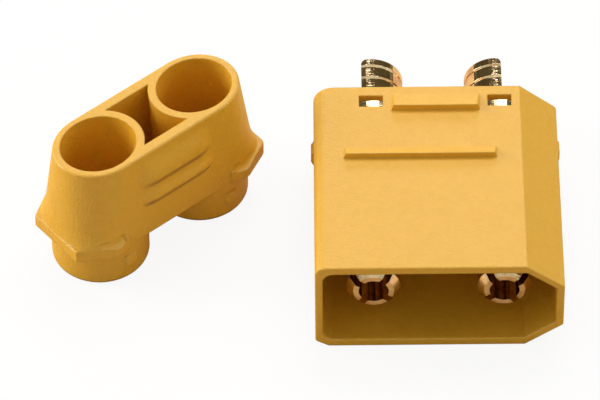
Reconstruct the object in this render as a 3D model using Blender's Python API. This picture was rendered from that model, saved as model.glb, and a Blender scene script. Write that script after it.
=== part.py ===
"""Two-pole battery connector, the half with pins, and its rear sheath taken off.

Metres, +Z up. The connector lies on its flat side with its mouth towards -Y. The
origin is the middle of the housing's underside, so +X runs across the two poles and
+Y runs from the mouth to the solder cups. The sheath stands beside it on its two
barrels, with the wire holes up.
"""

import math

import bmesh
import bpy
from mathutils import Vector

# Fits shared by several pieces
POLE_PITCH = 0.0109
SEAT_GAP = 0.0003
SOCKET_RADIUS = 0.00425
SOCKET_DEPTH = 0.0050
WEB_THICKNESS = 0.00345
SHEATH_CLEARANCE = 0.0001

# Housing, as seen from its mouth
HOUSING_LENGTH = 0.02065
SIDE_WALL = 0.00065
ROOF_OVER_SOCKET = 0.0006
HOUSING_WIDTH = POLE_PITCH + 2 * (SOCKET_RADIUS + SIDE_WALL)
HOUSING_HEIGHT = 2 * (SOCKET_RADIUS + ROOF_OVER_SOCKET)
KEY_CHAMFER_WIDTH = 0.00317
KEY_CHAMFER_HEIGHT = 0.00248
KEY_EDGE_RADIUS = 0.0002
TOP_CORNER_RADIUS = 0.0009
BASE_CORNER_WIDTH = 0.0011
BASE_CORNER_HEIGHT = 0.0007
BASE_EDGE_RADIUS = 0.0003
MOUTH_WALL = 0.0008
MOUTH_CORNER_RADIUS = 0.0010
MOUTH_EDGE_RADIUS = 0.00012
REAR_LEFT_RADIUS = 0.0008
REAR_KEY_RADIUS = 0.0004

# Windows in the housing that the sheath's latches snap into
WINDOW_WIDTH = 0.00203
WINDOW_LENGTH = 0.00127
WINDOW_INSET = 0.0010

# Grip ribs on the housing: a step facing the mouth, with a ramp behind it
REAR_RIB_WIDTH = 0.0075
REAR_RIB_STEP = 0.0027
REAR_RIB_RUN = 0.0019
REAR_RIB_RISE = 0.0006
FRONT_RIB_WIDTH = 0.0129
FRONT_RIB_OFFSET = 0.0014
FRONT_RIB_STEP = 0.0082
FRONT_RIB_RUN = 0.0012
FRONT_RIB_RISE = 0.00055
RIB_END_SLOPE = 0.0002
SIDE_RIB_LENGTH = 0.0016
SIDE_RIB_HEIGHT = 0.0014
SIDE_RIB_RISE = 0.00024
SIDE_RIB_STEP = 0.0031

# Contact pin: split nose, stem through the web, collar and solder cup
PIN_RADIUS = 0.00225
PIN_NOSE_RADIUS = 0.0017
PIN_BORE_RADIUS = 0.00125
PIN_BORE_DEPTH = 0.0095
PIN_SETBACK = 0.0018
PIN_SLOT_WIDTH = 0.00065
PIN_SLOT_DEPTH = 0.0085
SLOT_TURN = math.radians(8)
COLLAR_RADIUS = 0.0030
COLLAR_LENGTH = 0.0008
NECK_RADIUS = 0.0025
CUP_RADIUS = 0.0028
CUP_WALL = 0.0005
CUP_PROJECTION = 0.0053
CUP_BASE_INSET = 0.0005
CUP_SHOULDER = 0.0019
CUP_TURN = math.radians(4.5)
CUP_CUT_OFFSET = 0.00055
CUP_CUT_START = 0.0008
CUP_FLOOR = 0.00045
CUP_CORNER_RADIUS = 0.0005
CUP_GROOVE_WIDTH = 0.00026
CUP_GROOVE_DEPTH = 0.00012
CUP_GROOVE_PITCH = 0.00133
CUP_GROOVE_COUNT = 3
CUP_GROOVE_INSET = 0.0008

# Sheath: two barrels for the sockets, a body that narrows upwards, wire tunnels
SHEATH_HEIGHT = 0.01283
BARREL_LENGTH = 0.0040
BARREL_EDGE_RADIUS = 0.00045
BARREL_RADIUS = SOCKET_RADIUS - SHEATH_CLEARANCE
SHEATH_SEAT_HALF_WIDTH = 0.0043
SHEATH_SEAT_END = 0.00475
SHEATH_SEAT_SQUARENESS = 0.35
SHEATH_TOP_PITCH = 0.01034
SHEATH_TOP_HALF_WIDTH = 0.00355
SHEATH_TOP_END = 0.00398
SHEATH_RIM_RADIUS = 0.0002
FOOT_HEIGHT = 0.0016
FOOT_SQUARENESS = 0.75
TUNNEL_TOP_ALONG = 0.00334
TUNNEL_TOP_ACROSS = 0.00299
TUNNEL_RADIUS = 0.0031
TUNNEL_SKIN = 0.0007
POCKET_HALF_WIDTH = 0.00262
POCKET_FLOOR = 0.0010

# Ears at the sheath's ends, which cover the housing's rear face
EAR_START = 0.0055
EAR_SHOULDER = 0.0071
EAR_HALF_WIDTH = 0.0047
EAR_SHOULDER_RADIUS = 0.0008
EAR_THICKNESS = 0.0012
EAR_EDGE = 0.0002
EAR_GROOVE_RADIUS = 0.0006
EAR_GROOVE_START = 0.0060
EAR_GROOVE_END = 0.0094
EAR_GROOVE_END_RADIUS = 0.0001
EAR_GROOVE_END_WIDTH = 0.0034
EAR_GROOVE_LIFT = 0.0003
KEY_EAR_END = 0.01015
KEY_EAR_FLAT = 0.0028
KEY_EAR_RADIUS = 0.0002
PLAIN_EAR_END = 0.0101
PLAIN_EAR_FLAT = 0.0033
PLAIN_EAR_RADIUS = 0.0008

# Soft grip steps on the sheath's broad sides: each swells out, then drops back below
GRIP_LENGTH = 0.0088
GRIP_FADE = 0.0022
GRIP_SINK = 0.00006
GRIP_TOP_INSET = 0.00038
GRIP_PITCH = 0.0021
GRIP_DROP = 0.00105
GRIP_RAMP = 0.0024
GRIP_RISE = 0.0005
GRIP_LEDGE = 0.00022

# Latches on the barrels
LATCH_MARGIN = 0.00015
LATCH_RISE = 0.00028
LATCH_LEAD = 0.0004
LATCH_CATCH = 0.0001
LATCH_FADE = 0.0004
LATCH_SINK = 0.0002

# Where the sheath stands
SHEATH_X = -0.02435
SHEATH_Y = 0.00443
SHEATH_TURN = math.radians(39.9)

# Facets, and the angle from which an edge shades sharp
ROUND = 48
FINE_ROUND = 64
ARC = 6
EDGE_STEPS = 3
SHARP_ANGLE = math.radians(35)

# How far a cutter runs past the face that it opens
OVERCUT = 0.001

NYLON = (0.89, 0.52, 0.13, 1.0)
GOLD = (0.86, 0.60, 0.28, 1.0)

MOUTH_Y = -HOUSING_LENGTH / 2
REAR_Y = HOUSING_LENGTH / 2
WEB_FRONT_Y = REAR_Y - SOCKET_DEPTH - WEB_THICKNESS
POLE_HEIGHT = HOUSING_HEIGHT / 2
EAR_TOP = BARREL_LENGTH + EAR_THICKNESS


def clear_scene():
    for thing in list(bpy.data.objects):
        bpy.data.objects.remove(thing, do_unlink=True)


def make_material(name, colour, roughness, metallic):
    material = bpy.data.materials.new(name)
    material.use_nodes = True
    shader = material.node_tree.nodes["Principled BSDF"]
    shader.inputs["Base Color"].default_value = colour
    shader.inputs["Roughness"].default_value = roughness
    shader.inputs["Metallic"].default_value = metallic
    return material


def loft(name, rings, parent=None):
    """Closed solid through rings of points, flat at its first and last ring."""
    mesh = bmesh.new()
    loops = [[mesh.verts.new(point) for point in ring] for ring in rings]
    for lower, upper in zip(loops, loops[1:]):
        for i in range(len(lower)):
            j = (i + 1) % len(lower)
            mesh.faces.new((lower[i], lower[j], upper[j], upper[i]))
    mesh.faces.new(loops[0])
    mesh.faces.new(loops[-1])
    bmesh.ops.recalc_face_normals(mesh, faces=mesh.faces)
    data = bpy.data.meshes.new(name)
    mesh.to_mesh(data)
    mesh.free()
    solid = bpy.data.objects.new(name, data)
    bpy.context.collection.objects.link(solid)
    solid.parent = parent
    return solid


def shape(target, operation, tools):
    """Adds or cuts each tool with an exact Boolean, and keeps the tool as a wire."""
    for tool in tools:
        step = target.modifiers.new(tool.name, "BOOLEAN")
        step.operation = operation
        step.solver = "EXACT"
        step.object = tool
        tool.hide_render = True
        tool.display_type = "WIRE"
    return target


def finish(solid, material):
    solid.data.materials.append(material)
    solid.data.shade_smooth()
    solid.data.set_sharp_from_angle(angle=SHARP_ANGLE)
    return solid


def rounded_outline(corners):
    """Points round a polygon whose corners are (x, z, radius)."""
    points = []
    for i, (x, z, radius) in enumerate(corners):
        corner = Vector((x, z))
        if radius == 0:
            points.append(corner)
            continue
        before = (Vector(corners[i - 1][:2]) - corner).normalized()
        after = (Vector(corners[(i + 1) % len(corners)][:2]) - corner).normalized()
        half_angle = before.angle(after) / 2
        centre = corner + (before + after).normalized() * radius / math.sin(half_angle)
        reach = radius / math.tan(half_angle)
        start = corner + before * reach - centre
        end = corner + after * reach - centre
        for k in range(ARC + 1):
            points.append(centre + start.slerp(end, k / ARC).normalized() * radius)
    return points


def along_y(outline, y):
    return [(x, y, z) for x, z in outline]


def along_z(outline, z):
    return [(x, y, z) for x, y in outline]


def block(name, low, high, parent=None):
    outline = [(low[0], low[1]), (high[0], low[1]), (high[0], high[1]), (low[0], high[1])]
    return loft(name, [along_z(outline, low[2]), along_z(outline, high[2])], parent)


def round_bar(name, stations, x, z):
    """Solid turned about a line along Y, from (y, radius) stations."""
    turn = [2 * math.pi * k / ROUND for k in range(ROUND)]
    rings = [
        [(x + radius * math.cos(a), y, z + radius * math.sin(a)) for a in turn]
        for y, radius in stations
    ]
    return loft(name, rings)


def pole_sides():
    return (("left", -1), ("right", 1))


def broad_faces():
    return (("front", -1), ("back", 1))


# Housing

def housing_outline(left_inset=0, key_inset=0, flat_inset=0):
    """Outside of the housing across its length, drawn in by an inset at each side."""
    left = -HOUSING_WIDTH / 2 + left_inset
    right = HOUSING_WIDTH / 2 - key_inset
    base = flat_inset
    top = HOUSING_HEIGHT - flat_inset
    return rounded_outline([
        (left, BASE_CORNER_HEIGHT, BASE_EDGE_RADIUS),
        (left + BASE_CORNER_WIDTH, base, BASE_EDGE_RADIUS),
        (right - KEY_CHAMFER_WIDTH + key_inset, base, KEY_EDGE_RADIUS),
        (right, KEY_CHAMFER_HEIGHT, KEY_EDGE_RADIUS),
        (right, HOUSING_HEIGHT - KEY_CHAMFER_HEIGHT, KEY_EDGE_RADIUS),
        (right - KEY_CHAMFER_WIDTH + key_inset, top, KEY_EDGE_RADIUS),
        (left, top, TOP_CORNER_RADIUS),
    ])


def corner_inset(distance, radius):
    """How far a rounded corner draws in, this far from the end face."""
    if distance >= radius:
        return 0
    return radius - math.sqrt(radius ** 2 - (radius - distance) ** 2)


def corner_stations(radius, steps):
    """Distances from the end face at which a rounded corner is drawn, nearest first."""
    return [radius * (1 - math.cos(math.pi / 2 * k / steps)) for k in range(steps + 1)]


def housing_blank():
    """Solid block of the housing, with its mouth and rear corners rounded."""
    rings = []
    for distance in corner_stations(MOUTH_EDGE_RADIUS, EDGE_STEPS):
        inset = corner_inset(distance, MOUTH_EDGE_RADIUS)
        rings.append(along_y(housing_outline(inset, inset, inset), MOUTH_Y + distance))
    for distance in reversed(corner_stations(REAR_LEFT_RADIUS, ARC)):
        outline = housing_outline(
            corner_inset(distance, REAR_LEFT_RADIUS),
            corner_inset(distance, REAR_KEY_RADIUS),
        )
        rings.append(along_y(outline, REAR_Y - distance))
    return loft("housing", rings)


def mouth_outline(flare=0):
    """Inside of the mouth, with the keyed corners at an even wall."""
    left = -HOUSING_WIDTH / 2 + SIDE_WALL - flare
    right = HOUSING_WIDTH / 2 - SIDE_WALL + flare
    base = MOUTH_WALL - flare
    top = HOUSING_HEIGHT - MOUTH_WALL + flare
    wall_shift = SIDE_WALL * math.hypot(1 / KEY_CHAMFER_WIDTH, 1 / KEY_CHAMFER_HEIGHT)
    width = KEY_CHAMFER_WIDTH * (1 + wall_shift - MOUTH_WALL / KEY_CHAMFER_HEIGHT) - SIDE_WALL
    height = KEY_CHAMFER_HEIGHT * (1 + wall_shift - SIDE_WALL / KEY_CHAMFER_WIDTH) - MOUTH_WALL
    return rounded_outline([
        (left, base, MOUTH_CORNER_RADIUS),
        (right - width, base, KEY_EDGE_RADIUS),
        (right, base + height, KEY_EDGE_RADIUS),
        (right, top - height, KEY_EDGE_RADIUS),
        (right - width, top, KEY_EDGE_RADIUS),
        (left, top, MOUTH_CORNER_RADIUS),
    ])


def mouth_cutter():
    """The mouth's hollow, with a small flare at the rim."""
    rings = [along_y(mouth_outline(MOUTH_EDGE_RADIUS), MOUTH_Y - OVERCUT)]
    for distance in corner_stations(MOUTH_EDGE_RADIUS, EDGE_STEPS):
        flare = corner_inset(distance, MOUTH_EDGE_RADIUS)
        rings.append(along_y(mouth_outline(flare), MOUTH_Y + distance))
    rings.append(along_y(mouth_outline(), WEB_FRONT_Y))
    return loft("mouth_cut", rings)


def wedge_rib(name, x, width, step_from_rear, run, rise):
    """Wedge on the top face, with a step towards the mouth."""
    step_y = REAR_Y - step_from_rear
    foot = HOUSING_HEIGHT - MOUTH_WALL / 2
    rings = []
    for side in (-1, 1):
        stations = [(x + side * width / 2, 0), (x + side * (width / 2 - RIB_END_SLOPE), rise)]
        for end_x, lift in stations[::-side]:
            rings.append([
                (end_x, step_y, foot),
                (end_x, step_y, HOUSING_HEIGHT + lift),
                (end_x, step_y + run, HOUSING_HEIGHT),
                (end_x, step_y + run, foot),
            ])
    return loft(name, rings)


def side_rib(name, side):
    """Small pad on the housing's side, with sloping ends."""
    middle_y = REAR_Y - SIDE_RIB_STEP
    face = side * HOUSING_WIDTH / 2
    rings = []
    for depth, shrink in ((-SIDE_WALL / 2, 0), (0, 0), (SIDE_RIB_RISE, SIDE_RIB_RISE)):
        half_length = SIDE_RIB_LENGTH / 2 - shrink
        half_height = SIDE_RIB_HEIGHT / 2 - shrink
        x = face + side * depth
        rings.append([
            (x, middle_y - half_length, POLE_HEIGHT - half_height),
            (x, middle_y + half_length, POLE_HEIGHT - half_height),
            (x, middle_y + half_length, POLE_HEIGHT + half_height),
            (x, middle_y - half_length, POLE_HEIGHT + half_height),
        ])
    return loft(name, rings)


def make_housing(material):
    housing = housing_blank()
    cuts = [mouth_cutter()]
    for side_name, side in pole_sides():
        x = side * POLE_PITCH / 2
        socket = [(REAR_Y - SOCKET_DEPTH, SOCKET_RADIUS), (REAR_Y + OVERCUT, SOCKET_RADIUS)]
        hole = [(MOUTH_Y, PIN_RADIUS + SEAT_GAP), (REAR_Y, PIN_RADIUS + SEAT_GAP)]
        cuts.append(round_bar(f"socket_cut_{side_name}", socket, x, POLE_HEIGHT))
        cuts.append(round_bar(f"stem_cut_{side_name}", hole, x, POLE_HEIGHT))
        window_rear = REAR_Y - WINDOW_INSET
        cuts.append(block(
            f"window_cut_{side_name}",
            (x - WINDOW_WIDTH / 2, window_rear - WINDOW_LENGTH, -OVERCUT),
            (x + WINDOW_WIDTH / 2, window_rear, HOUSING_HEIGHT + OVERCUT),
        ))
    ribs = [
        wedge_rib("rear_rib", 0, REAR_RIB_WIDTH, REAR_RIB_STEP, REAR_RIB_RUN, REAR_RIB_RISE),
        wedge_rib("front_rib", -FRONT_RIB_OFFSET, FRONT_RIB_WIDTH, FRONT_RIB_STEP, FRONT_RIB_RUN,
                  FRONT_RIB_RISE),
    ]
    ribs += [side_rib(f"side_rib_{side_name}", side) for side_name, side in pole_sides()]
    shape(housing, "UNION", ribs)
    shape(housing, "DIFFERENCE", cuts)
    return finish(housing, material)


# Contact pins

def pin_stations():
    """The outside of the pin from its nose to the end of the solder cup."""
    nose = MOUTH_Y + PIN_SETBACK
    web_rear = REAR_Y - SOCKET_DEPTH
    collar_front = web_rear + SEAT_GAP
    collar_rear = collar_front + COLLAR_LENGTH
    shoulder_rear = REAR_Y + CUP_BASE_INSET
    cup_end = REAR_Y + CUP_PROJECTION
    stations = [
        (nose, PIN_NOSE_RADIUS),
        (nose + PIN_RADIUS - PIN_NOSE_RADIUS, PIN_RADIUS),
        (collar_front, PIN_RADIUS),
        (collar_front, COLLAR_RADIUS),
        (collar_rear, COLLAR_RADIUS),
        (collar_rear, NECK_RADIUS),
        (shoulder_rear - CUP_SHOULDER, NECK_RADIUS),
        (shoulder_rear, CUP_RADIUS),
    ]
    for k in reversed(range(CUP_GROOVE_COUNT)):
        middle = cup_end - CUP_GROOVE_INSET - k * CUP_GROOVE_PITCH
        stations += [
            (middle - CUP_GROOVE_WIDTH / 2, CUP_RADIUS),
            (middle, CUP_RADIUS - CUP_GROOVE_DEPTH),
            (middle + CUP_GROOVE_WIDTH / 2, CUP_RADIUS),
        ]
    stations.append((cup_end, CUP_RADIUS))
    return stations


def pin_cutter(name, x, angle, across, stations):
    """Four-sided cutter along Y, turned about the pin's line, from (y, along) stations."""
    right = Vector((math.cos(angle), 0, math.sin(angle)))
    up = Vector((-math.sin(angle), 0, math.cos(angle)))
    rings = []
    for y, along in stations:
        middle = Vector((x, y, POLE_HEIGHT))
        rings.append([
            middle + right * along[i] + up * across[j]
            for i, j in ((0, 0), (1, 0), (1, 1), (0, 1))
        ])
    return loft(name, rings)


def cup_opening(side_name, side, x):
    """Takes the outer side off a solder cup, and rounds the corner that this leaves."""
    cup_end = REAR_Y + CUP_PROJECTION
    reach = CUP_RADIUS + OVERCUT
    insets = [(REAR_Y + CUP_CUT_START, 0)]
    for distance in reversed(corner_stations(CUP_CORNER_RADIUS, EDGE_STEPS)):
        insets.append((cup_end - distance, corner_inset(distance, CUP_CORNER_RADIUS)))
    insets.append((cup_end + OVERCUT, CUP_CORNER_RADIUS))
    stations = [(y, (side * (CUP_CUT_OFFSET - inset), side * reach)) for y, inset in insets]
    return pin_cutter(f"cup_opening_{side_name}", x, CUP_TURN, (-reach, reach), stations)


def make_pin(side_name, side, material):
    x = side * POLE_PITCH / 2
    nose = MOUTH_Y + PIN_SETBACK
    cup_end = REAR_Y + CUP_PROJECTION
    pin = round_bar(f"contact_pin_{side_name}", pin_stations(), x, POLE_HEIGHT)
    bore = [(nose - OVERCUT, PIN_BORE_RADIUS), (nose + PIN_BORE_DEPTH, PIN_BORE_RADIUS)]
    cup_bore = [
        (REAR_Y + CUP_BASE_INSET + CUP_FLOOR, CUP_RADIUS - CUP_WALL),
        (cup_end + OVERCUT, CUP_RADIUS - CUP_WALL),
    ]
    cuts = [
        round_bar(f"nose_bore_{side_name}", bore, x, POLE_HEIGHT),
        round_bar(f"cup_bore_{side_name}", cup_bore, x, POLE_HEIGHT),
        cup_opening(side_name, side, x),
    ]
    slot = PIN_SLOT_WIDTH / 2
    reach = PIN_RADIUS + OVERCUT
    for k, quarter in enumerate((math.radians(45), math.radians(135))):
        stations = [(y, (-reach, reach)) for y in (nose - OVERCUT, nose + PIN_SLOT_DEPTH)]
        cuts.append(pin_cutter(f"nose_slot_{side_name}_{k}", x, quarter - side * SLOT_TURN,
                               (-slot, slot), stations))
    shape(pin, "DIFFERENCE", cuts)
    return finish(pin, material)


# Rear sheath, in its own frame: X along the pitch, Y across, Z up from the floor

def stadium(half_pitch, end, half_width, squareness):
    """Two half ellipses joined by straight sides, squarer at their corners on request."""
    half_turn = FINE_ROUND // 2
    power = 2 / (2 + squareness)
    points = []
    for side in (1, -1):
        for k in range(half_turn + 1):
            angle = math.pi * k / half_turn - math.pi / 2
            along = abs(math.cos(angle)) ** power
            across = math.copysign(abs(math.sin(angle)) ** power, angle)
            points.append((side * (half_pitch + end * along), side * half_width * across))
    return points


def mix(low, high, share):
    return low + (high - low) * share


def foot(height):
    """How far the foot is squared: 1 at the ears' top, and nothing further up."""
    return max(0, 1 - (height - EAR_TOP) / FOOT_HEIGHT) ** 2


def body_ring(height, inset=0):
    """Outline of the sheath's body at a height, moved in by an inset."""
    share = (height - BARREL_LENGTH) / (SHEATH_HEIGHT - BARREL_LENGTH)
    return stadium(
        mix(POLE_PITCH, SHEATH_TOP_PITCH, share) / 2,
        mix(SHEATH_SEAT_END, SHEATH_TOP_END, share) - inset,
        broad_side(height) - inset,
        mix(SHEATH_SEAT_SQUARENESS, 0, share) + FOOT_SQUARENESS * foot(height),
    )


def sheath_body(stand):
    rings = [along_z(body_ring(EAR_TOP), BARREL_LENGTH)]
    for k in range(ARC + 1):
        height = EAR_TOP + FOOT_HEIGHT * k / ARC
        rings.append(along_z(body_ring(height), height))
    for distance in reversed(corner_stations(SHEATH_RIM_RADIUS, EDGE_STEPS)):
        height = SHEATH_HEIGHT - distance
        rings.append(along_z(body_ring(height, corner_inset(distance, SHEATH_RIM_RADIUS)), height))
    return loft("rear_sheath", rings, stand)


def sheath_barrel(side_name, side, stand):
    """Plain barrel with a rounded lower edge, let into the body."""
    turn = [2 * math.pi * k / FINE_ROUND for k in range(FINE_ROUND)]
    stations = [
        (height, BARREL_RADIUS - corner_inset(height, BARREL_EDGE_RADIUS))
        for height in corner_stations(BARREL_EDGE_RADIUS, ARC)
    ]
    stations.append((EAR_TOP, BARREL_RADIUS))
    x = side * POLE_PITCH / 2
    rings = [
        [(x + radius * math.cos(a), radius * math.sin(a), height) for a in turn]
        for height, radius in stations
    ]
    return loft(f"barrel_{side_name}", rings, stand)


def sheath_ear(side_name, side, end, flat, radius, stand):
    """Plate with cut corners at one end of the sheath, with a soft upper edge."""
    def outline(inset):
        wide = EAR_HALF_WIDTH - inset
        return rounded_outline([
            (side * EAR_START, -SHEATH_SEAT_HALF_WIDTH + TUNNEL_SKIN, 0),
            (side * EAR_START, -SHEATH_SEAT_HALF_WIDTH, 0),
            (side * EAR_SHOULDER, -wide, EAR_SHOULDER_RADIUS),
            (side * (end - inset), -flat, radius),
            (side * (end - inset), flat, radius),
            (side * EAR_SHOULDER, wide, EAR_SHOULDER_RADIUS),
            (side * EAR_START, SHEATH_SEAT_HALF_WIDTH, 0),
            (side * EAR_START, SHEATH_SEAT_HALF_WIDTH - TUNNEL_SKIN, 0),
        ])
    rings = [along_z(outline(0), BARREL_LENGTH)]
    for distance in reversed(corner_stations(EAR_EDGE, EDGE_STEPS)):
        rings.append(along_z(outline(corner_inset(distance, EAR_EDGE)), EAR_TOP - distance))
    return loft(f"ear_{side_name}", rings, stand)


def ear_groove(name, side, face, stand):
    """Round groove over an ear's broad edge, which runs out towards the end."""
    middle_z = EAR_TOP + EAR_GROOVE_LIFT
    stations = (
        (EAR_GROOVE_START, EAR_HALF_WIDTH, EAR_GROOVE_RADIUS),
        (EAR_SHOULDER, EAR_HALF_WIDTH, EAR_GROOVE_RADIUS),
        (EAR_GROOVE_END, EAR_GROOVE_END_WIDTH, EAR_GROOVE_END_RADIUS),
    )
    turn = [2 * math.pi * k / ROUND for k in range(ROUND)]
    rings = [
        [(side * x, face * y + radius * math.cos(a), middle_z + radius * math.sin(a)) for a in turn]
        for x, y, radius in stations
    ]
    return loft(name, rings, stand)


def broad_side(height):
    """How far the broad side stands from the middle plane at a height."""
    share = (height - BARREL_LENGTH) / (SHEATH_HEIGHT - BARREL_LENGTH)
    return mix(SHEATH_SEAT_HALF_WIDTH, SHEATH_TOP_HALF_WIDTH, share)


def ease(share):
    """Smooth rise from 0 to 1 as the share goes from 0 to 1."""
    return (1 - math.cos(math.pi * share)) / 2


def grip_profile():
    """Heights and rises up a broad side: two drops with a slow swell above each."""
    second_crest = SHEATH_HEIGHT - GRIP_TOP_INSET - GRIP_RAMP
    ledge = second_crest - GRIP_DROP
    start = ledge - GRIP_PITCH
    first_crest = start + GRIP_DROP
    turns = [
        (start, 0), (first_crest, GRIP_RISE), (ledge, GRIP_LEDGE),
        (second_crest, GRIP_RISE), (second_crest + GRIP_RAMP, 0),
    ]
    points = [turns[0]]
    for (low, rise), (high, next_rise) in zip(turns, turns[1:]):
        for k in range(1, ARC + 1):
            points.append((mix(low, high, k / ARC), mix(rise, next_rise, ease(k / ARC))))
    return points


def grip(name, face, stand):
    """Grip steps along a broad side, which fade out at both ends."""
    buried = TUNNEL_SKIN / 3
    profile = grip_profile()
    low = profile[0][0]
    high = profile[-1][0]
    rings = []
    for side in (-1, 1):
        for k in range(ARC + 1):
            fade = k / ARC if side < 0 else 1 - k / ARC
            x = side * (GRIP_LENGTH / 2 - GRIP_FADE * fade)
            ring = [(x, face * (broad_side(low) - buried), low)]
            for height, rise in profile:
                stand_off = (rise + GRIP_SINK) * ease(fade) - GRIP_SINK
                ring.append((x, face * (broad_side(height) + stand_off), height))
            ring.append((x, face * (broad_side(high) - buried), high))
            rings.append(ring)
    return loft(name, rings, stand)


def latch(name, x, face, stand):
    """Soft pad on a barrel, with a lead-in below, that snaps into a window of the housing."""
    half = WINDOW_WIDTH / 2 - LATCH_MARGIN
    high = BARREL_LENGTH - WINDOW_INSET - LATCH_MARGIN
    low = BARREL_LENGTH - WINDOW_INSET - WINDOW_LENGTH + LATCH_MARGIN - LATCH_LEAD
    root = BARREL_RADIUS - TUNNEL_SKIN / 2
    sunk = BARREL_RADIUS - LATCH_SINK
    stations = ((-half, 0), (-half + LATCH_FADE, 1), (half - LATCH_FADE, 1), (half, 0))
    rings = [
        [
            (x + offset, face * root, low),
            (x + offset, face * sunk, low),
            (x + offset, face * (sunk + (LATCH_SINK + LATCH_RISE) * fade), low + LATCH_LEAD),
            (x + offset, face * (sunk + (LATCH_SINK + LATCH_CATCH) * fade), high),
            (x + offset, face * root, high),
        ]
        for offset, fade in stations
    ]
    return loft(name, rings, stand)


def tunnel_ring(side, height, skin=0):
    """Wire hole at a height: oblong at the top, round in the barrel."""
    share = max(0, (height - BARREL_LENGTH) / (SHEATH_HEIGHT - BARREL_LENGTH))
    along = mix(TUNNEL_RADIUS, TUNNEL_TOP_ALONG, share) + skin
    across = mix(TUNNEL_RADIUS, TUNNEL_TOP_ACROSS, share) + skin
    x = side * mix(POLE_PITCH, SHEATH_TOP_PITCH, share) / 2
    turn = [2 * math.pi * k / FINE_ROUND for k in range(FINE_ROUND)]
    return [(x + along * math.cos(a), across * math.sin(a), height) for a in turn]


def tunnel(name, side, stand, skin=0):
    heights = (-OVERCUT, BARREL_LENGTH, SHEATH_HEIGHT + OVERCUT)
    return loft(name, [tunnel_ring(side, height, skin) for height in heights], stand)


def pocket(stand):
    """Hollow between the tunnels, which leaves their walls standing."""
    half_length = SHEATH_TOP_PITCH / 2
    cutter = block(
        "pocket_cut",
        (-half_length, -POCKET_HALF_WIDTH, BARREL_LENGTH + POCKET_FLOOR),
        (half_length, POCKET_HALF_WIDTH, SHEATH_HEIGHT + OVERCUT / 2),
        stand,
    )
    walls = [tunnel(f"tunnel_wall_{name}", side, stand, TUNNEL_SKIN) for name, side in pole_sides()]
    return shape(cutter, "DIFFERENCE", walls)


def make_sheath(material):
    stand = bpy.data.objects.new("sheath_place", None)
    bpy.context.collection.objects.link(stand)
    stand.location = (SHEATH_X, SHEATH_Y, 0)
    stand.rotation_euler = (0, 0, SHEATH_TURN)
    sheath = sheath_body(stand)
    added = []
    cuts = []
    added.append(sheath_ear("left", -1, KEY_EAR_END, KEY_EAR_FLAT, KEY_EAR_RADIUS, stand))
    added.append(sheath_ear("right", 1, PLAIN_EAR_END, PLAIN_EAR_FLAT, PLAIN_EAR_RADIUS, stand))
    for name, side in pole_sides():
        added.append(sheath_barrel(name, side, stand))
        cuts.append(tunnel(f"tunnel_cut_{name}", side, stand))
        for face_name, face in broad_faces():
            added.append(latch(f"latch_{name}_{face_name}", side * POLE_PITCH / 2, face, stand))
            cuts.append(ear_groove(f"ear_groove_{name}_{face_name}", side, face, stand))
    for face_name, face in broad_faces():
        added.append(grip(f"grip_{face_name}", face, stand))
    cuts.append(pocket(stand))
    shape(sheath, "UNION", added)
    shape(sheath, "DIFFERENCE", cuts)
    return finish(sheath, material)


def main():
    clear_scene()
    nylon = make_material("amber nylon", NYLON, 0.55, 0.0)
    gold = make_material("gold plating", GOLD, 0.3, 1.0)
    make_housing(nylon)
    for side_name, side in pole_sides():
        make_pin(side_name, side, gold)
    make_sheath(nylon)


main()
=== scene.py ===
import math

import bpy
from mathutils import Matrix, Vector

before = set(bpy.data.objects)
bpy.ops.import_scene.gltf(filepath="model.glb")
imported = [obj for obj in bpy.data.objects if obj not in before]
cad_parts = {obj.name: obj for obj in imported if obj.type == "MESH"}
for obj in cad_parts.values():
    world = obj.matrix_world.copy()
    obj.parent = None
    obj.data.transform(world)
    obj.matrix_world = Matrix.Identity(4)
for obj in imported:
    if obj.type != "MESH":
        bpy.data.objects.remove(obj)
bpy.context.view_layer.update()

# Camera, fitted to the edges of the housing and the sheath in the 600 by 400 photograph
PHOTO_WIDTH = 600
SENSOR_WIDTH = 36
FOCAL_PIXELS = 5200
CAMERA_DISTANCE = 0.4465
CAMERA_TILT = math.radians(47.61)
CAMERA_TURN = math.radians(-0.35)
CAMERA_ROLL = math.radians(-0.8)
CAMERA_TARGET = (-0.01157, 0.00627, 0)
CAMERA_NEAR = 0.01
CAMERA_FAR = 10

# How far the shading is rounded over the edges of the mouldings and of the turned pins
NYLON_EDGE = 0.0002
GOLD_EDGE = 0.00005
EDGE_SAMPLES = 6

# Nylon: amber with a faint mottle, and painted shade on faces that look down
NYLON_LIGHT = (0.86, 0.485, 0.032, 1)
NYLON_DARK = (0.83, 0.46, 0.022, 1)
# Painted shade: a darker amber for faces that look down, and the normal heights over which it fades in
NYLON_PAINTED_UNDERSIDE_SHADE = (0.42, 0.2, 0.004, 1)
PAINTED_SHADE_FADE = (-0.3, -0.02)
MOTTLE_SCALE = 1600
MOTTLE_SPREAD = (0.35, 0.65)

# Nylon: gloss, a soft glow under the surface, and the fine grain of the mould
NYLON_ROUGHNESS = (0.36, 0.5)
NYLON_SPECULAR = 0.95
NYLON_GLOW = (0.0003, 0.0002, 0.00005)
NYLON_GLOW_SHARE = 0.15
GRAIN_SCALE = 5000
GRAIN_SPREAD = (0.3, 0.7)
GRAIN_DEPTH = 0.00009
GRAIN_STRENGTH = 0.8

# Gold plate: patches of tarnish, turning lines round the pins and a faint ripple
GOLD_PALE = (0.95, 0.76, 0.48, 1)
GOLD_DEEP = (0.66, 0.46, 0.24, 1)
GOLD_ROUGHNESS = (0.08, 0.16)
TARNISH_SCALE = 900
TARNISH_SPREAD = (0.4, 0.65)
TURNING_PITCH = 0.00009
TURNING_WAVER = 0.6
TURNING_STRENGTH = 0.06
RIPPLE_SCALE = 1500
RIPPLE_STRENGTH = 0.25

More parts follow.
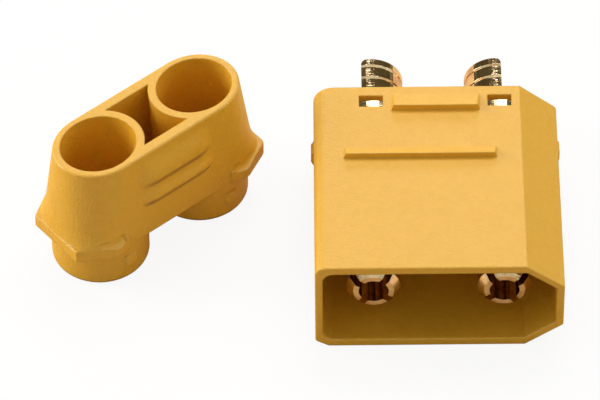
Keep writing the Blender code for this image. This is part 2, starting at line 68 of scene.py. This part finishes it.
# Floor: white to the camera with a share of the shadow, and toned in the light that it throws back
WHITE = (1, 1, 1, 1)
FLOOR_SIZE = 3
FLOOR_CELLS = 4
FLOOR_ROUGHNESS = 0.9
FLOOR_TONE = (0.58, 0.48, 0.27, 1)
FLOOR_REFLECTION = (0.85, 0.6, 0.36, 1)
FLOOR_SHADOW = 0.1

# World: colours, and the spans of direction over which they change, where +Y is behind and +Z up
FRONT_LIGHT = (0.37, 0.355, 0.27, 1)
AMBIENT = (0.42, 0.395, 0.35, 1)
BRIGHT_REFLECTION = (0.66, 0.63, 0.54, 1)
DARK_REFLECTION = (0.085, 0.07, 0.035, 1)
FRONT_TO_BACK = (-0.6, 0.2)
DARK_BEHIND = (0.1, 0.4)
DARK_ABOVE = (-0.03, 0.09)

# Lamps: name, place, width, height and power
LAMP_COLOUR = (1, 0.95, 0.92)
LAMP_AIM = (-0.011, 0.004, 0.005)
LAMPS = (
    ("key_light", (0.07, 0.20, 0.39), 0.42, 0.12, 0.69),
    ("left_light", (-0.36, 0.06, 0.16), 0.24, 0.24, 1.04),
    ("right_light", (0.36, 0.05, 0.20), 0.24, 0.24, 0.29),
    ("back_light", (0, 0.42, 0.17), 0.3, 0.12, 0.36),
)

# Sockets by which the Mix node takes and gives colours
MIX_FIRST = 6
MIX_SECOND = 7
MIX_RESULT = 2


def new_material(name):
    material = bpy.data.materials.new(name)
    material.use_nodes = True
    return material, material.node_tree


def add_node(tree, kind, inputs=(), **settings):
    """Shader node with its settings and unlinked input values."""
    node = tree.nodes.new(kind)
    for key, value in settings.items():
        setattr(node, key, value)
    for key, value in dict(inputs).items():
        node.inputs[key].default_value = value
    return node


def soft_edges(tree, radius):
    """Rounds the shading over an edge by a radius."""
    return add_node(tree, "ShaderNodeBevel", {"Radius": radius}, samples=EDGE_SAMPLES).outputs["Normal"]


def noise(tree, place, scale, detail=3, roughness=0.55):
    node = add_node(tree, "ShaderNodeTexNoise", {"Scale": scale, "Detail": detail, "Roughness": roughness})
    tree.links.new(place, node.inputs["Vector"])
    return node.outputs["Fac"]


def remap(tree, value, span, result=(0, 1)):
    """Turns a span of values into a result span, and holds its ends beyond it."""
    node = add_node(tree, "ShaderNodeMapRange", {
        "From Min": span[0], "From Max": span[1], "To Min": result[0], "To Max": result[1],
    })
    tree.links.new(value, node.inputs["Value"])
    return node.outputs["Result"]


def mix_colour(tree, share, first, second):
    """Blend of two colours, each a plain colour or a node's output."""
    node = add_node(tree, "ShaderNodeMix", data_type="RGBA")
    tree.links.new(share, node.inputs["Factor"])
    for socket, colour in ((node.inputs[MIX_FIRST], first), (node.inputs[MIX_SECOND], second)):
        if isinstance(colour, tuple):
            socket.default_value = colour
        else:
            tree.links.new(colour, socket)
    return node.outputs[MIX_RESULT]


def bump(tree, height, normal, strength, distance):
    """Normal with the relief of a height laid over it."""
    node = add_node(tree, "ShaderNodeBump", {"Strength": strength, "Distance": distance})
    tree.links.new(height, node.inputs["Height"])
    tree.links.new(normal, node.inputs["Normal"])
    return node.outputs["Normal"]


def nylon_colour(tree, place):
    """Mottled amber, with painted shade where a face looks down."""
    mottle = remap(tree, noise(tree, place, MOTTLE_SCALE), MOTTLE_SPREAD)
    facing = add_node(tree, "ShaderNodeSeparateXYZ")
    tree.links.new(add_node(tree, "ShaderNodeTexCoord").outputs["Normal"], facing.inputs["Vector"])
    # Painted shade: the colour blends to the darker amber as the face's normal turns down
    unshaded_share = remap(tree, facing.outputs["Z"], PAINTED_SHADE_FADE)
    moulded = mix_colour(tree, mottle, NYLON_DARK, NYLON_LIGHT)
    return mix_colour(tree, unshaded_share, NYLON_PAINTED_UNDERSIDE_SHADE, moulded)


def nylon_material():
    """Moulded amber nylon: soft glow, slight mottling, painted shade on faces that look down, and a fine
    grain.
    """
    material, tree = new_material("moulded_nylon")
    shader = tree.nodes["Principled BSDF"]
    place = add_node(tree, "ShaderNodeTexCoord").outputs["Object"]
    tree.links.new(nylon_colour(tree, place), shader.inputs["Base Color"])
    grain = noise(tree, place, GRAIN_SCALE, detail=2)
    tree.links.new(remap(tree, grain, GRAIN_SPREAD, NYLON_ROUGHNESS), shader.inputs["Roughness"])
    grained = bump(tree, grain, soft_edges(tree, NYLON_EDGE), GRAIN_STRENGTH, GRAIN_DEPTH)
    tree.links.new(grained, shader.inputs["Normal"])
    shader.inputs["Specular IOR Level"].default_value = NYLON_SPECULAR
    shader.inputs["Subsurface Weight"].default_value = NYLON_GLOW_SHARE
    shader.inputs["Subsurface Radius"].default_value = NYLON_GLOW
    shader.inputs["Subsurface Scale"].default_value = 1
    return material


def turning_lines(tree, place):
    """Fine rings round a pin, which lies along Y."""
    lines = add_node(tree, "ShaderNodeTexWave", {
        "Scale": 1 / TURNING_PITCH / math.tau, "Distortion": TURNING_WAVER,
    }, bands_direction="Y")
    tree.links.new(place, lines.inputs["Vector"])
    return lines.outputs["Fac"]


def gold_material():
    """Gold plate on turned brass, with fine turning lines and a little tarnish."""
    material, tree = new_material("gold_plate")
    shader = tree.nodes["Principled BSDF"]
    place = add_node(tree, "ShaderNodeTexCoord").outputs["Object"]
    tarnish = remap(tree, noise(tree, place, TARNISH_SCALE), TARNISH_SPREAD)
    tree.links.new(mix_colour(tree, tarnish, GOLD_PALE, GOLD_DEEP), shader.inputs["Base Color"])
    shader.inputs["Metallic"].default_value = 1
    tree.links.new(remap(tree, tarnish, (0, 1), GOLD_ROUGHNESS), shader.inputs["Roughness"])
    edges = soft_edges(tree, GOLD_EDGE)
    turned = bump(tree, turning_lines(tree, place), edges, TURNING_STRENGTH, TURNING_PITCH)
    ripple = noise(tree, place, RIPPLE_SCALE, detail=2)
    rippled = bump(tree, ripple, turned, RIPPLE_STRENGTH, TURNING_PITCH)
    tree.links.new(rippled, shader.inputs["Normal"])
    return material


def floor_material():
    """White to the camera with a share of the object's shadow, and toned for all other rays."""
    material, tree = new_material("white_floor")
    plain = tree.nodes["Principled BSDF"]
    plain.inputs["Roughness"].default_value = FLOOR_ROUGHNESS
    white = add_node(tree, "ShaderNodeEmission", {"Color": WHITE, "Strength": 1})
    path = add_node(tree, "ShaderNodeLightPath")
    seen = path.outputs["Is Camera Ray"]
    tone = mix_colour(tree, path.outputs["Is Glossy Ray"], FLOOR_TONE, FLOOR_REFLECTION)
    tree.links.new(mix_colour(tree, seen, tone, WHITE), plain.inputs["Base Color"])
    shadowless = remap(tree, seen, (0, 1), (0, 1 - FLOOR_SHADOW))
    mix = add_node(tree, "ShaderNodeMixShader")
    tree.links.new(shadowless, mix.inputs["Fac"])
    tree.links.new(plain.outputs["BSDF"], mix.inputs[1])
    tree.links.new(white.outputs["Emission"], mix.inputs[2])
    tree.links.new(mix.outputs["Shader"], tree.nodes["Material Output"].inputs["Surface"])
    return material


def finish_node(name, material):
    """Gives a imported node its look, with its large faces shaded flat."""
    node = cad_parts[name]
    node.data.materials.clear()
    node.data.materials.append(material)
    weights = node.modifiers.new("flat_faces", "WEIGHTED_NORMAL")
    weights.keep_sharp = True


def place_camera():
    """Camera that looks at its target from its distance, tilted down, turned and rolled."""
    sin_tilt = math.sin(CAMERA_TILT)
    cos_tilt = math.cos(CAMERA_TILT)
    ahead = Vector((math.sin(CAMERA_TURN) * cos_tilt, math.cos(CAMERA_TURN) * cos_tilt, -sin_tilt))
    right = Vector((math.cos(CAMERA_TURN), -math.sin(CAMERA_TURN), 0))
    up = right.cross(ahead)
    rolled_right = math.cos(CAMERA_ROLL) * right + math.sin(CAMERA_ROLL) * up
    rolled_up = rolled_right.cross(ahead)
    data = bpy.data.cameras.new("camera")
    data.sensor_width = SENSOR_WIDTH
    data.lens = FOCAL_PIXELS * SENSOR_WIDTH / PHOTO_WIDTH
    data.clip_start = CAMERA_NEAR
    data.clip_end = CAMERA_FAR
    camera = bpy.data.objects.new("camera", data)
    bpy.context.collection.objects.link(camera)
    matrix = Matrix((rolled_right, rolled_up, -ahead)).transposed().to_4x4()
    matrix.translation = Vector(CAMERA_TARGET) - CAMERA_DISTANCE * ahead
    camera.matrix_world = matrix
    bpy.context.scene.camera = camera


def make_floor():
    bpy.ops.mesh.primitive_grid_add(
        x_subdivisions=FLOOR_CELLS, y_subdivisions=FLOOR_CELLS, size=FLOOR_SIZE,
    )
    floor = bpy.context.object
    floor.name = "floor"
    floor.data.materials.append(floor_material())


def make_lamp(name, place, width, height, power):
    """Soft oval lamp that points at the object."""
    data = bpy.data.lights.new(name, "AREA")
    data.shape = "ELLIPSE"
    data.size = width
    data.size_y = height
    data.energy = power
    data.color = LAMP_COLOUR
    lamp = bpy.data.objects.new(name, data)
    bpy.context.collection.objects.link(lamp)
    lamp.location = place
    lamp.rotation_euler = (Vector(LAMP_AIM) - Vector(place)).to_track_quat("-Z", "Y").to_euler()


def make_world():
    """Even light all round, white behind the object; gloss mirrors a dark wall at the back."""
    world = bpy.data.worlds.new("studio")
    bpy.context.scene.world = world
    world.use_nodes = True
    tree = world.node_tree
    background = tree.nodes["Background"]
    path = add_node(tree, "ShaderNodeLightPath")
    direction = add_node(tree, "ShaderNodeTexCoord").outputs["Generated"]
    split = add_node(tree, "ShaderNodeSeparateXYZ")
    tree.links.new(direction, split.inputs["Vector"])
    dark = add_node(tree, "ShaderNodeMath", operation="MULTIPLY")
    tree.links.new(remap(tree, split.outputs["Y"], DARK_BEHIND), dark.inputs[0])
    tree.links.new(remap(tree, split.outputs["Z"], DARK_ABOVE), dark.inputs[1])
    reflected = mix_colour(tree, dark.outputs["Value"], BRIGHT_REFLECTION, DARK_REFLECTION)
    soft = mix_colour(tree, remap(tree, split.outputs["Y"], FRONT_TO_BACK), FRONT_LIGHT, AMBIENT)
    lighting = mix_colour(tree, path.outputs["Is Glossy Ray"], soft, reflected)
    shown = mix_colour(tree, path.outputs["Is Camera Ray"], lighting, WHITE)
    tree.links.new(shown, background.inputs["Color"])


def main():
    nylon = nylon_material()
    gold = gold_material()
    for name in ("housing", "rear_sheath"):
        finish_node(name, nylon)
    for name in ("contact_pin_left", "contact_pin_right"):
        finish_node(name, gold)
    make_floor()
    make_world()
    for lamp in LAMPS:
        make_lamp(*lamp)
    place_camera()
    bpy.context.scene.view_settings.view_transform = "Standard"


main()
